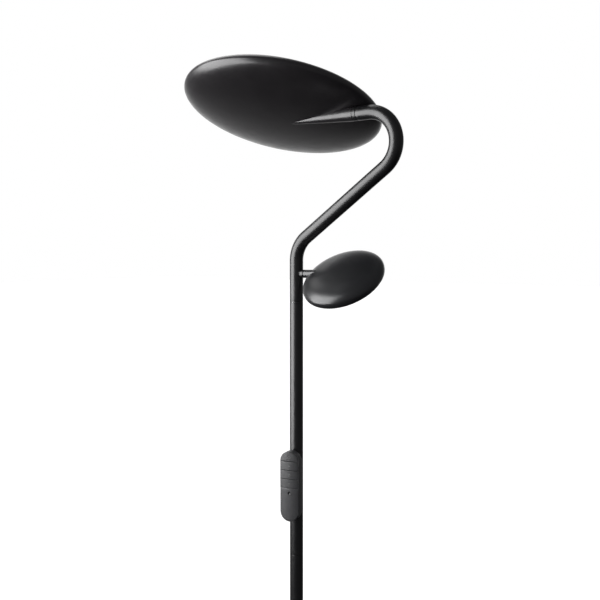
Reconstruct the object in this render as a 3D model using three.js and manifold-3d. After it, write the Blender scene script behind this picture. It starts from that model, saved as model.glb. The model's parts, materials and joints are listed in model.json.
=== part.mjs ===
// Torchiere floor lamp: a round weighted base, a pole of three screwed sections and a Z-bent arm,
// a large pebble-shaped uplighter, a small reading lamp and a hand-held remote on a magnetic cradle.
// Millimetres, +Z up. The origin is on the floor at the centre of the base, and the arm bends towards +X.
import * as THREE from "three";
import { mergeVertices } from "three/addons/utils/BufferGeometryUtils.js";
import Module from "manifold-3d";

const wasm = await Module();
wasm.setup();

// ---- driving dimensions ----
const GAP = 0.3; // clearance between neighbouring pieces
const DEG = Math.PI / 180;

const TUBE_R = 11;
const TUBE_BORE_R = 9.5;
const BASE_TOP = 21; // top of the base cover at the pole
const SECTION = 421.4; // length of each pole section that shows between two seams
const SEAM_TOP = 1296;
const SEAM_MID = SEAM_TOP - SECTION;
const SEAM_LOW = SEAM_MID - SECTION;

const BEND_R = 47; // centreline radius of both bends of the arm
const BEND_START_Z = 1363.4;
const RISE_ANGLE = 35.06 * DEG; // slope of the arm's straight run above the horizontal
const RUN_LENGTH = 178.7;
const FIRST_TURN = 90 * DEG - RISE_ANGLE;
const RUN_START_X = BEND_R * (1 - Math.cos(FIRST_TURN));
const RUN_START_Z = BEND_START_Z + BEND_R * Math.sin(FIRST_TURN);
const TOP_BEND_X = RUN_START_X + RUN_LENGTH * Math.cos(RISE_ANGLE) - BEND_R * Math.sin(RISE_ANGLE);
const TOP_BEND_Z = RUN_START_Z + RUN_LENGTH * Math.sin(RISE_ANGLE) + BEND_R * Math.cos(RISE_ANGLE);
const HEAD_AXIS_Z = TOP_BEND_Z + BEND_R; // the arm ends level, and the head turns about its centreline
const ARM_END_X = 119.6;

const BASE_R = 140;
const PAD_H = 2.5;
const WEIGHT = { r: 126, z0: 2.8, z1: 16.2, hubR: 27, hubZ: 19, bore: 8 };
const COVER_SKIN = 1.5;
const BASE_SCREW = { pitchR: 16, headR: 4.2, shankR: 2.5, headH: 3 };
const FLANGE = { r: 23, h: 5, bossR: 9.2, bossH: 40, bore: 6 };
const COLLAR = { r: 25, h: 11 };
const GLAND_Z = 9.4;
const CABLE_Z = 7.2; // height of the cable's groove under the weight

const JOINER = { r: 9.2, bore: 6, half: 32 };

const HEAD = {
  tilt: -18, // degrees about the hinge, as the lamp is set
  r: 165,
  depth: 30,
  power: 2.1,
  wall: 2.2,
  rimD: 9.9,
  centreX: -33.65,
  rise: 25.2, // the disc's middle plane above the hinge axis
  ringX0: 112.7,
  ringX1: 119.3,
};
const HEAD_SHAFT = { r: 5, bore: 3, x0: 88, x1: 135 };
const HEAD_PLUG = { x0: 119.6, x1: 126.6 };
const HEAD_NUT = { x0: 128.6, x1: 133.6, flats: 15 };
const HEAD_SINK = { r: 118, d0: -8.4, d1: -5.8 };
const HEAD_SINK_SCREW_R = 96;
const HUB_X = 62; // inner end of the solid hub that holds the shaft

const READING = {
  tilt: 36.94,
  z: 1342.3,
  r: 67.8,
  depth: 19.5,
  power: 2.35,
  wall: 2,
  rimD: 11,
  centreX: 89,
  rise: -8.54,
};
const STUB = { r: 6.65, bore: 4.3, x1: 16.5 };
const READING_FIN_X = 17.5;
const READING_SHAFT = { r: 4, bore: 2.5, x0: 0.8, x1: 44 };
const READING_NUT = { x0: 1.6, x1: 5.4, flats: 12 };
const READING_SINK = { r: 44, d0: -4, d1: -1.5 };
const READING_SINK_SCREW_R = 33;

const REMOTE = {
  turn: 13, // degrees about the pole
  z: 995.5,
  width: 33.4,
  height: 115.6,
  front: 30.2, // distances from the pole's axis
  back: 16,
  seam: 25.1, // top of the back shell's wall
  wall: 1.2,
  crown: 69, // radius of the bulging face
};
const CRADLE = { width: 26, height: 106, front: 15.3, back: 7, rear: 8.2 };
const CRADLE_SCREW_Z = 38;
const KEY_EDGES = [41.3, 26.6, 12.1, -2.4]; // lower edges of the keys, above the remote's middle
const KEY_SPLIT = 0.35; // half the gap between two keys
const KEY_CENTRES = [48.2, 33.9, 19.4, 4.9];
const KEY_FLOOR = 26.8; // the front shell's surface under the keys
const KEY_UNDER = 27.6; // the keys' undersides
const KEY_STEM = { r: 2, end: 26.2, holeR: 2.6 };
const MODE_KEY = { z: -10.6, r: 2.6 };
const BOARD = { front: 25.5, back: 24.7 };

// ---- solids: joining, cutting and simple shapes ----
function toSolid(geometry) {
  const bare = geometry.clone();
  bare.deleteAttribute("normal");
  bare.deleteAttribute("uv");
  const merged = mergeVertices(bare, 1e-5);
  const mesh = new wasm.Mesh({
    numProp: 3,
    vertProperties: new Float32Array(merged.attributes.position.array),
    triVerts: new Uint32Array(merged.index.array),
  });
  return new wasm.Manifold(mesh);
}

function toGeometry(solid) {
  const mesh = solid.getMesh();
  const geometry = new THREE.BufferGeometry();
  geometry.setAttribute("position", new THREE.BufferAttribute(new Float32Array(mesh.vertProperties), 3));
  geometry.setIndex(new THREE.BufferAttribute(new Uint32Array(mesh.triVerts), 1));
  return geometry;
}

const cut = (body, ...tools) =>
  toGeometry(tools.reduce((solid, tool) => solid.subtract(toSolid(tool)), toSolid(body)));
const join = (body, ...others) =>
  toGeometry(others.reduce((solid, other) => solid.add(toSolid(other)), toSolid(body)));
const common = (body, other) => toGeometry(toSolid(body).intersect(toSolid(other)));

// A turned solid about Z from [radius, z] points that go anticlockwise from the axis or close a ring.
function turned(points, segments = 24) {
  const closes = points[0][0] > 0;
  const path = closes ? [...points, points[0]] : points;
  const profile = path.map(([r, z]) => new THREE.Vector2(Math.max(r, 0), z));
  return new THREE.LatheGeometry(profile, segments).rotateX(Math.PI / 2);
}

const rod = (r, z0, z1, segments = 20) => turned([[0, z0], [r, z0], [r, z1], [0, z1]], segments);
const tube = (r, bore, z0, z1, segments = 24) =>
  turned([[bore, z0], [r, z0], [r, z1], [bore, z1]], segments);
const alongX = (geometry) => geometry.rotateY(Math.PI / 2);
const alongMinusY = (geometry) => geometry.rotateX(Math.PI / 2);
const box = (x, y, z) => new THREE.BoxGeometry(x, y, z);

function nut({ x0, x1, flats }, bore) {
  const corner = flats / 2 / Math.cos(30 * DEG);
  const corners = [0, 60, 120, 180, 240, 300].map((degrees) =>
    new THREE.Vector2(corner * Math.cos(degrees * DEG), corner * Math.sin(degrees * DEG)));
  const shape = new THREE.Shape(corners);
  const hole = new THREE.Path();
  hole.absarc(0, 0, bore, 0, 2 * Math.PI, true);
  shape.holes.push(hole);
  const blank = new THREE.ExtrudeGeometry(shape, { depth: x1 - x0, bevelEnabled: false, curveSegments: 8 });
  return alongX(blank.translate(0, 0, x0));
}

// A round wire or a bent tube: straight runs and arcs in the plane Y = 0, or in X = 0 for the base.
// The path has stations only where it turns, so straight runs stay light.
class BentPath extends THREE.Curve {
  constructor(points) {
    super();
    this.points = points;
  }
  getPoint(t) {
    const place = t * (this.points.length - 1);
    const index = Math.min(Math.floor(place), this.points.length - 2);
    return this.points[index].clone().lerp(this.points[index + 1], place - index);
  }
  getTangent(t) {
    const place = Math.round(t * (this.points.length - 1));
    const before = this.points[Math.max(place - 1, 0)];
    const after = this.points[Math.min(place + 1, this.points.length - 1)];
    const here = this.points[place];
    const arriving = here.clone().sub(before).normalize();
    const leaving = after.clone().sub(here).normalize();
    return arriving.add(leaving).normalize();
  }
  getPointAt(u) {
    return this.getPoint(u);
  }
  getTangentAt(u) {
    return this.getTangent(u);
  }
  getSpacedPoints(count) {
    return Array.from({ length: count + 1 }, (_, i) => this.getPoint(i / count));
  }
}

function swept(points, radius, sides, bore = 0) {
  const shape = new THREE.Shape();
  shape.absarc(0, 0, radius, 0, 2 * Math.PI, false);
  if (bore > 0) {
    const hole = new THREE.Path();
    hole.absarc(0, 0, bore, 0, 2 * Math.PI, true);
    shape.holes.push(hole);
  }
  const extrudePath = new BentPath(points);
  return new THREE.ExtrudeGeometry(shape, {
    steps: points.length - 1,
    curveSegments: sides,
    extrudePath,
    bevelEnabled: false,
  });
}

// Points of an arc about (cx, cz) in the plane Y = 0, from angle a0 to a1 measured from +X towards +Z.
function arcPoints(cx, cz, radius, a0, a1, steps) {
  return Array.from({ length: steps + 1 }, (_, i) => {
    const angle = a0 + ((a1 - a0) * i) / steps;
    return new THREE.Vector3(cx + radius * Math.cos(angle), 0, cz + radius * Math.sin(angle));
  });
}

// ---- materials ----
const finish = (color, roughness, metalness = 0) =>
  new THREE.MeshStandardMaterial({ color, roughness, metalness });
const LOOK = {
  black: () => finish(0x17171a, 0.42),
  remote: () => finish(0x3a3b40, 0.5),
  key: () => finish(0x3c3d42, 0.46),
  dark: () => finish(0x101012, 0.3),
  diffuser: () => finish(0xf2f0ea, 0.4),
  rubber: () => finish(0x1c1c1c, 0.9),
  iron: () => finish(0x4a4a4c, 0.7, 0.6),
  steel: () => finish(0xa9abae, 0.35, 1),
  aluminium: () => finish(0xc4c6c9, 0.4, 1),
  board: () => finish(0xeeeee8, 0.5),
  greenBoard: () => finish(0x1d5a35, 0.5),
  cable: () => finish(0x151515, 0.6),
};

const lamp = new THREE.Group();
function add(parent, name, geometry, material) {
  const mesh = new THREE.Mesh(geometry, material);
  mesh.name = name;
  parent.add(mesh);
}

// ---- base ----
function makeBase(parent) {
  add(parent, "base_pad", rod(BASE_R - 4, 0, PAD_H, 36), LOOK.rubber());

  const screwPlaces = [30, 150, 270].map((degrees) => [
    BASE_SCREW.pitchR * Math.cos(degrees * DEG),
    BASE_SCREW.pitchR * Math.sin(degrees * DEG),
  ]);
  const holes = (r, z0, z1) => screwPlaces.map(([x, y]) => rod(r, z0, z1, 12).translate(x, y, 0));

  const grooveTop = CABLE_Z + 4;
  const groove = box(9, WEIGHT.r + 5, grooveTop).translate(0, (WEIGHT.r + 5) / 2, grooveTop / 2);
  const weight = cut(
    turned([
      [WEIGHT.bore, WEIGHT.z0], [WEIGHT.r, WEIGHT.z0], [WEIGHT.r, WEIGHT.z1 - 4],
      [WEIGHT.r - 5, WEIGHT.z1], [WEIGHT.hubR + 3, WEIGHT.z1], [WEIGHT.hubR, WEIGHT.hubZ],
      [WEIGHT.bore, WEIGHT.hubZ],
    ], 32),
    groove,
    ...holes(BASE_SCREW.shankR + GAP, 0, 30),
    ...holes(BASE_SCREW.headR + 0.8, 0, WEIGHT.z0 + BASE_SCREW.headH + 1),
  );
  add(parent, "base_weight", weight, LOOK.iron());

  const inside = COVER_SKIN;
  const coverProfile = [
    [BASE_R - inside, 1.2], [BASE_R, 1.2], [BASE_R, 10], [BASE_R - 2, 13.6], [BASE_R - 6.5, 16.4],
    [BASE_R - 16, 18.2], [70, 20.2], [FLANGE.bore + 1, BASE_TOP], [FLANGE.bore + 1, BASE_TOP - inside],
    [70, 20.2 - inside], [BASE_R - 16.2, 18.2 - inside], [BASE_R - 7.4, 16.4 - inside],
    [BASE_R - 3.4, 12.8], [BASE_R - inside, 9.8],
  ];
  const glandHole = alongMinusY(rod(4.3, -BASE_R - 5, -BASE_R + 8, 16)).translate(0, 0, GLAND_Z);
  const cover = cut(turned(coverProfile, 36), glandHole, ...holes(BASE_SCREW.shankR + GAP, 5, 30));
  add(parent, "base_cover", cover, LOOK.black());

  const glandProfile = [
    [2.7, BASE_R - 7], [4, BASE_R - 7], [4, BASE_R + 0.1], [6, BASE_R + 0.3], [6, BASE_R + 1.2],
    [5.2, BASE_R + 2], [2.7, BASE_R + 2],
  ];
  const gland = turned(glandProfile, 16).rotateX(-Math.PI / 2).translate(0, 0, GLAND_Z);
  add(parent, "cord_gland", gland, LOOK.rubber());

  const screwTop = BASE_TOP + 4.4;
  screwPlaces.forEach(([x, y], index) => {
    const headTop = WEIGHT.z0 + BASE_SCREW.headH + 0.7;
    const screw = turned([
      [0, WEIGHT.z0 + 0.7], [BASE_SCREW.headR, WEIGHT.z0 + 0.7], [BASE_SCREW.headR, headTop],
      [BASE_SCREW.shankR, headTop], [BASE_SCREW.shankR, screwTop], [0, screwTop],
    ], 12).translate(x, y, 0);
    add(parent, `base_screw_${index + 1}`, screw, LOOK.steel());
  });

  const flangeZ = BASE_TOP + GAP;
  const boss = FLANGE.bossH + flangeZ + FLANGE.h;
  const flange = cut(
    turned([
      [FLANGE.bore, flangeZ], [FLANGE.r, flangeZ], [FLANGE.r, flangeZ + FLANGE.h],
      [FLANGE.bossR, flangeZ + FLANGE.h], [FLANGE.bossR, boss - 1.5], [FLANGE.bossR - 1.5, boss],
      [FLANGE.bore, boss],
    ], 24),
    ...holes(BASE_SCREW.shankR + GAP, BASE_TOP - 1, BASE_TOP + 4.9),
  );
  add(parent, "pole_flange", flange, LOOK.steel());

  const collarTop = BASE_TOP + COLLAR.h;
  const collar = turned([
    [FLANGE.r + GAP, BASE_TOP + 0.4], [COLLAR.r, BASE_TOP + 0.4], [COLLAR.r, collarTop - 4],
    [COLLAR.r - 1.2, collarTop - 1.2], [COLLAR.r - 4, collarTop], [TUBE_R + GAP, collarTop],
    [TUBE_R + GAP, collarTop - 2.4], [FLANGE.r + GAP, collarTop - 4],
  ], 24);
  add(parent, "base_collar", collar, LOOK.black());
}

// ---- pole ----
function poleSection(z0, z1) {
  const chamfer = 0.3;
  return turned([
    [TUBE_BORE_R, z0], [TUBE_R - chamfer, z0], [TUBE_R, z0 + chamfer], [TUBE_R, z1 - chamfer],
    [TUBE_R - chamfer, z1], [TUBE_BORE_R, z1],
  ], 24);
}

function makePole(parent) {
  const half = GAP / 2;
  const foot = BASE_TOP + FLANGE.h + 2 * GAP;
  add(parent, "pole_lower", poleSection(foot, SEAM_LOW - half), LOOK.black());
  add(parent, "pole_middle", poleSection(SEAM_LOW + half, SEAM_MID - half), LOOK.black());
  const screwHoles = [CRADLE_SCREW_Z, -CRADLE_SCREW_Z].map((z) =>
    alongMinusY(rod(1.8, 5, 13, 12)).rotateZ(REMOTE.turn * DEG).translate(0, 0, REMOTE.z + z));
  const upper = cut(poleSection(SEAM_MID + half, SEAM_TOP - half), ...screwHoles);
  add(parent, "pole_upper", upper, LOOK.black());

  const seams = { joiner_low: SEAM_LOW, joiner_mid: SEAM_MID, joiner_top: SEAM_TOP };
  for (const [name, z] of Object.entries(seams)) {
    const joiner = turned([
      [JOINER.bore, z - JOINER.half], [JOINER.r - 1, z - JOINER.half], [JOINER.r, z - JOINER.half + 1],
      [JOINER.r, z + JOINER.half - 1], [JOINER.r - 1, z + JOINER.half], [JOINER.bore, z + JOINER.half],
    ], 16);
    add(parent, name, joiner, LOOK.steel());
  }
}

// ---- arm ----
const lowerBend = (steps) =>
  arcPoints(BEND_R, BEND_START_Z, BEND_R, Math.PI, Math.PI - FIRST_TURN, steps);
const upperBend = (steps) =>
  arcPoints(TOP_BEND_X, TOP_BEND_Z, BEND_R, RISE_ANGLE - Math.PI / 2, Math.PI / 2, steps);

function makeArm(parent) {
  const path = [
    new THREE.Vector3(0, 0, SEAM_TOP + GAP / 2),
    ...lowerBend(6),
    ...upperBend(14),
    new THREE.Vector3(ARM_END_X, 0, HEAD_AXIS_Z),
  ];
  const wireHole = alongX(rod(STUB.bore, 5, 14, 16)).translate(0, 0, READING.z);
  add(parent, "arm_tube", cut(swept(path, TUBE_R, 8, TUBE_BORE_R), wireHole), LOOK.black());

  const stub = cut(
    alongX(turned([[STUB.bore, 6], [STUB.r, 6], [STUB.r, STUB.x1], [STUB.bore, STUB.x1]], 24))
      .translate(0, 0, READING.z),
    rod(TUBE_R + GAP, READING.z - 20, READING.z + 20, 48),
  );
  add(parent, "reading_stub", stub, LOOK.black());

  const ring = alongX(turned([
    [HEAD_SHAFT.r + GAP, HEAD.ringX0], [TUBE_R - 0.7, HEAD.ringX0], [TUBE_R, HEAD.ringX0 + 0.7],
    [TUBE_R, HEAD.ringX1 - 0.7], [TUBE_R - 0.7, HEAD.ringX1], [HEAD_SHAFT.r + GAP, HEAD.ringX1],
  ], 24)).translate(0, 0, HEAD_AXIS_Z);
  add(parent, "head_pivot_ring", ring, LOOK.black());

  const screwX = (HEAD_PLUG.x0 + HEAD_PLUG.x1) / 2 + 0.4;
  const plug = cut(
    alongX(tube(TUBE_BORE_R - GAP, HEAD_SHAFT.r + GAP, HEAD_PLUG.x0, HEAD_PLUG.x1, 24)),
    rod(1.6, 6.2, 12, 10).translate(screwX, 0, 0),
  ).translate(0, 0, HEAD_AXIS_Z);
  add(parent, "head_end_plug", plug, LOOK.steel());
  add(parent, "head_plug_screw", rod(1.3, 6.5, 9, 10).translate(screwX, 0, HEAD_AXIS_Z), LOOK.steel());
  const washerX = HEAD_PLUG.x1 + GAP;
  const washer = alongX(tube(8, HEAD_SHAFT.r + GAP, washerX, washerX + 1.3, 24));
  add(parent, "head_wave_washer", washer.translate(0, 0, HEAD_AXIS_Z), LOOK.steel());

  const frictionX = (STUB.x1 + READING_FIN_X) / 2;
  const frictionWasher = alongX(tube(5.6, READING_SHAFT.r + GAP, frictionX - 0.25, frictionX + 0.25, 20));
  add(parent, "reading_friction_washer", frictionWasher.translate(0, 0, READING.z), LOOK.dark());
  const waveX = READING_NUT.x1 + GAP;
  const readingWave = alongX(tube(5.9, READING_SHAFT.r + GAP, waveX, waveX + 0.6, 20));
  add(parent, "reading_wave_washer", readingWave.translate(0, 0, READING.z), LOOK.steel());
}

// ---- pebble-shaped lamp bodies ----
// Points of a superellipse quarter from the pole of the disc (angle 90 degrees) to the equator (0).
function pebbleCurve(r, depth, power, fromAngle, toAngle, steps) {
  return Array.from({ length: steps + 1 }, (_, i) => {
    const angle = fromAngle + ((toAngle - fromAngle) * i) / steps;
    const across = Math.abs(Math.cos(angle)) < 1e-9 ? 0 : Math.cos(angle) ** (2 / power);
    const up = Math.sign(Math.sin(angle)) * Math.abs(Math.sin(angle)) ** (2 / power);
    return [r * across, depth * up];
  });
}

// Angle of the superellipse parameter at a given height below the equator.
const angleAt = (depth, power, height) => Math.asin((height / depth) ** (power / 2));
const radiusAt = (lampBody, height) =>
  lampBody.r * (1 - (height / lampBody.depth) ** lampBody.power) ** (1 / lampBody.power);

// The hollow body, closed side up: its rim is rimD below the equator, with a ledge for the diffuser.
function pebbleShell(lampBody, steps, segments) {
  const { r, depth, power, wall, rimD } = lampBody;
  const rimAngle = angleAt(depth, power, rimD);
  const outside = [
    [0, -rimD],
    ...pebbleCurve(r, depth, power, -rimAngle, Math.PI / 2, steps),
  ];
  const cavityFloor = rimD - 4;
  const cavityAngle = angleAt(depth - wall, power, cavityFloor);
  const inside = [
    [0, -cavityFloor],
    ...pebbleCurve(r - wall, depth - wall, power, -cavityAngle, Math.PI / 2, steps - 3),
  ];
  const recess = radiusAt(lampBody, rimD) - 2.4;
  return {
    outer: turned(outside, segments),
    tools: [
      turned(inside, segments),
      rod(recess - 4, -rimD - 3, -cavityFloor + 0.5, segments),
      rod(recess, -rimD - 3, -rimD + 1.9, segments),
    ],
  };
}

// The diffuser: a shallow dome that stands about a millimetre proud of the rim.
function diffuser(lampBody, crown, segments) {
  const edge = radiusAt(lampBody, lampBody.rimD) - 2.4 - GAP;
  const seat = -lampBody.rimD + 1.6;
  const lip = -lampBody.rimD - 1.1;
  const dome = (radius, start, steps) =>
    Array.from({ length: steps }, (_, i) => {
      const s = (i + 1) / steps;
      return [radius * s, start - crown * (1 - s * s)];
    });
  const below = dome(edge, lip, 4);
  const above = dome(edge - 4.4, seat, 3).reverse();
  return turned([[0, lip - crown], ...below, [edge, seat], ...above, [0, seat - crown]], segments);
}

// Three bosses that carry the heat sink, from inside the body's wall down to the sink.
function bosses(lampBody, pitchR, angles, sinkTop, outer) {
  return angles.map((degrees) => {
    const x = pitchR * Math.cos(degrees * DEG);
    const y = pitchR * Math.sin(degrees * DEG);
    return common(rod(4.5, sinkTop + GAP, lampBody.depth + 5, 12).translate(x, y, 0), outer);
  });
}

const sinkScrew = (lampBody, sinkBottom, length) =>
  turned([[0, sinkBottom - 2.3], [3.2, sinkBottom - 2.3], [3.2, sinkBottom - GAP],
    [1.5, sinkBottom - GAP], [1.5, sinkBottom + length], [0, sinkBottom + length]], 10);

// ---- uplighter ----
function makeHead(parent) {
  const hinge = new THREE.Group();
  hinge.position.z = HEAD_AXIS_Z;
  hinge.rotation.x = HEAD.tilt * DEG;
  parent.add(hinge);
  const flip = (geometry) => geometry.rotateX(Math.PI).translate(HEAD.centreX, 0, HEAD.rise);
  const screwAngles = [60, 180, 300];

  const { outer, tools } = pebbleShell(HEAD, 8, 32);
  const sinkTop = -HEAD_SINK.d0; // the body is built upside down, then flipped
  const pads = bosses(HEAD, HEAD_SINK_SCREW_R, screwAngles, sinkTop, outer);
  const pilotHoles = screwAngles.map((degrees) => rod(1.8, sinkTop - 1, sinkTop + 6, 10).translate(
    HEAD_SINK_SCREW_R * Math.cos(degrees * DEG), HEAD_SINK_SCREW_R * Math.sin(degrees * DEG), 0));
  const bowl = flip(cut(join(cut(outer, ...tools), ...pads), ...pilotHoles));

  const finStart = HEAD.ringX0 - GAP;
  const fin = alongX(turned([
    [0, -16], [2.6, -14], [4.4, -9], [5.8, 2], [7.4, 30], [8.8, 60], [10.1, 88], [10.8, 103],
    [TUBE_R, finStart], [0, finStart],
  ], 24));
  const cavity = common(flip(tools[0].clone()), box(200, 60, 60).translate(HUB_X - 100, 0, 0));
  const hub = common(alongX(rod(13.5, HUB_X, 126, 24)), flip(outer.clone()));
  const shaftBore = alongX(rod(HEAD_SHAFT.r + GAP, HEAD_SHAFT.x0 - GAP, 140, 20));
  const wireHoles = [0, 3].map((z) => alongX(rod(HEAD_SHAFT.bore, HUB_X - 12, 92, 16)).translate(0, 0, z));
  const ringClearance = alongX(rod(TUBE_R + 0.6, finStart, 160, 24));
  const shaftScrewHole = rod(2.3, 3, 20, 10).translate(96, 0, 0);
  const body = join(bowl, cut(fin, cavity), hub);
  const shell = cut(body, shaftBore, ...wireHoles, ringClearance, shaftScrewHole);
  add(hinge, "head_shell", shell, LOOK.black());

  const shaft = alongX(tube(HEAD_SHAFT.r, HEAD_SHAFT.bore, HEAD_SHAFT.x0, HEAD_SHAFT.x1, 20));
  add(hinge, "head_pivot_shaft", shaft, LOOK.steel());
  add(hinge, "head_pivot_nut", nut(HEAD_NUT, HEAD_SHAFT.r + GAP), LOOK.steel());
  add(hinge, "head_shaft_screw", rod(2, HEAD_SHAFT.r + GAP, 12, 10).translate(96, 0, 0), LOOK.steel());

  const place = (geometry) => geometry.translate(HEAD.centreX, 0, HEAD.rise);
  const sinkHoles = screwAngles.map((degrees) => rod(1.8, -20, 20, 10).translate(
    HEAD_SINK_SCREW_R * Math.cos(degrees * DEG), -HEAD_SINK_SCREW_R * Math.sin(degrees * DEG), 0));
  const sink = cut(turned([
    [0, HEAD_SINK.d0], [HEAD_SINK.r - 3, HEAD_SINK.d0], [HEAD_SINK.r, HEAD_SINK.d0 + 0.8],
    [HEAD_SINK.r, 2], [HEAD_SINK.r - 2, 2], [HEAD_SINK.r - 2, HEAD_SINK.d1], [0, HEAD_SINK.d1],
  ], 28), ...sinkHoles);
  add(hinge, "head_heat_sink", place(sink), LOOK.aluminium());
  const board = tube(86, 24, HEAD_SINK.d1 + GAP, HEAD_SINK.d1 + 1.9, 24);
  add(hinge, "head_led_board", place(board), LOOK.board());
  const driver = box(84, 46, 13).translate(HEAD.centreX - 28, 0, HEAD.rise + HEAD_SINK.d0 - 6.9);
  add(hinge, "head_driver", driver, LOOK.greenBoard());
  add(hinge, "head_diffuser", flip(diffuser(HEAD, 7, 32)), LOOK.diffuser());
  screwAngles.forEach((degrees, index) => {
    const screw = sinkScrew(HEAD, sinkTop - 2.6, 7).translate(
      HEAD_SINK_SCREW_R * Math.cos(degrees * DEG), HEAD_SINK_SCREW_R * Math.sin(degrees * DEG), 0);
    add(hinge, `head_sink_screw_${index + 1}`, flip(screw), LOOK.steel());
  });

  const lead = [
    new THREE.Vector3(HEAD_SHAFT.x1 - 1, 0, 0),
    new THREE.Vector3(HEAD_SHAFT.x0 - 2, 0, 0),
    new THREE.Vector3(HUB_X + 8, 0, 2.5),
    new THREE.Vector3(HUB_X - 6, 0, 5.5),
    new THREE.Vector3(HUB_X - 18, 0, 9),
    new THREE.Vector3(HUB_X - 25, 0, 12.4),
  ];
  add(hinge, "head_lead", swept(lead, 1.6, 4), LOOK.cable());
}

// ---- reading lamp ----
function makeReadingLamp(parent) {
  const hinge = new THREE.Group();
  hinge.position.z = READING.z;
  hinge.rotation.x = READING.tilt * DEG;
  parent.add(hinge);
  const place = (geometry) => geometry.translate(READING.centreX, 0, READING.rise);
  const screwAngles = [0, 180];
  const around = (geometry, degrees, offset = 90) => geometry.translate(
    READING_SINK_SCREW_R * Math.cos((degrees + offset) * DEG),
    READING_SINK_SCREW_R * Math.sin((degrees + offset) * DEG), 0);

  const { outer, tools } = pebbleShell(READING, 7, 24);
  const pads = screwAngles.map((degrees) =>
    common(around(rod(4, READING_SINK.d1 + GAP, READING.depth + 5, 12), degrees), outer));
  const pilotHoles = screwAngles.map((degrees) =>
    around(rod(1.8, READING_SINK.d1 - 1, READING_SINK.d1 + 6.5, 10), degrees));
  const bowl = place(cut(join(cut(outer, ...tools), ...pads), ...pilotHoles));

  const fin = alongX(turned([
    [0, READING_FIN_X], [STUB.r - 0.4, READING_FIN_X], [STUB.r, READING_FIN_X + 0.4], [6.8, 28],
    [7.2, 40], [6.9, 46], [5.6, 51], [3, 55], [0, 57],
  ], 24));
  const hub = common(alongX(rod(7.4, 24, 47, 24)), place(outer.clone()));
  const shaftBore = alongX(rod(READING_SHAFT.r + GAP, 0, READING_SHAFT.x1 + GAP, 20));
  const wireHole = alongX(rod(READING_SHAFT.bore, 40, 62, 12)).translate(0, 0, -0.5);
  const shaftScrewHole = rod(1.8, -9, -3, 10).translate(36, 0, 0);
  const shell = cut(join(bowl, fin, hub), shaftBore, wireHole, shaftScrewHole);
  add(hinge, "reading_shell", shell, LOOK.black());

  const shaft = alongX(tube(READING_SHAFT.r, READING_SHAFT.bore, READING_SHAFT.x0, READING_SHAFT.x1, 20));
  add(hinge, "reading_pivot_shaft", shaft, LOOK.steel());
  add(hinge, "reading_pivot_nut", nut(READING_NUT, READING_SHAFT.r + GAP), LOOK.steel());
  const shaftScrew = rod(1.5, -7.2, -READING_SHAFT.r - GAP, 10).translate(36, 0, 0);
  add(hinge, "reading_shaft_screw", shaftScrew, LOOK.steel());

  const sinkHoles = screwAngles.map((degrees) => around(rod(1.8, -20, 20, 10), degrees));
  const sink = cut(turned([
    [0, READING_SINK.d0], [READING_SINK.r, READING_SINK.d0], [READING_SINK.r, READING_SINK.d1 - 0.6],
    [READING_SINK.r - 0.6, READING_SINK.d1], [0, READING_SINK.d1],
  ], 24), ...sinkHoles);
  add(hinge, "reading_heat_sink", place(sink), LOOK.aluminium());
  const boardTop = READING_SINK.d0 - GAP;
  add(hinge, "reading_led_board", place(rod(26, boardTop - 1.6, boardTop, 24)), LOOK.board());
  add(hinge, "reading_diffuser", place(diffuser(READING, 3, 24)), LOOK.diffuser());
  screwAngles.forEach((degrees, index) => {
    const screw = around(sinkScrew(READING, READING_SINK.d0, 8), degrees);
    add(hinge, `reading_sink_screw_${index + 1}`, place(screw), LOOK.steel());
  });

  const lead = [new THREE.Vector3(-0.4, 0, 0), new THREE.Vector3(30, 0, 0), new THREE.Vector3(64, 0, -1)];
  add(hinge, "reading_lead", swept(lead, 1.5, 4), LOOK.cable());
}

// ---- remote control ----
// In the remote's own frame X is its width, Z its height, and the pole's axis is Y = 0 behind it.
function stadium(width, height, d0, d1) {
  const r = width / 2;
  const straight = height / 2 - r;
  const shape = new THREE.Shape();
  shape.absarc(0, straight, r, 0, Math.PI, false);
  shape.absarc(0, -straight, r, Math.PI, 2 * Math.PI, false);
  shape.closePath();
  const slab = new THREE.ExtrudeGeometry(shape, { depth: d1 - d0, bevelEnabled: false, curveSegments: 7 });
  return slab.translate(0, 0, d0).rotateX(Math.PI / 2);
}

const band = (width, d0, d1, z0, z1) =>
  box(width, d1 - d0, z1 - z0).translate(0, -(d0 + d1) / 2, (z0 + z1) / 2);
const crown = (lift) =>
  rod(REMOTE.crown, -80, 80, 72).translate(0, REMOTE.crown - REMOTE.front - lift, 0);
const peg = (r, d0, d1, z, segments = 16) => alongMinusY(rod(r, d0, d1, segments)).translate(0, 0, z);

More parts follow.
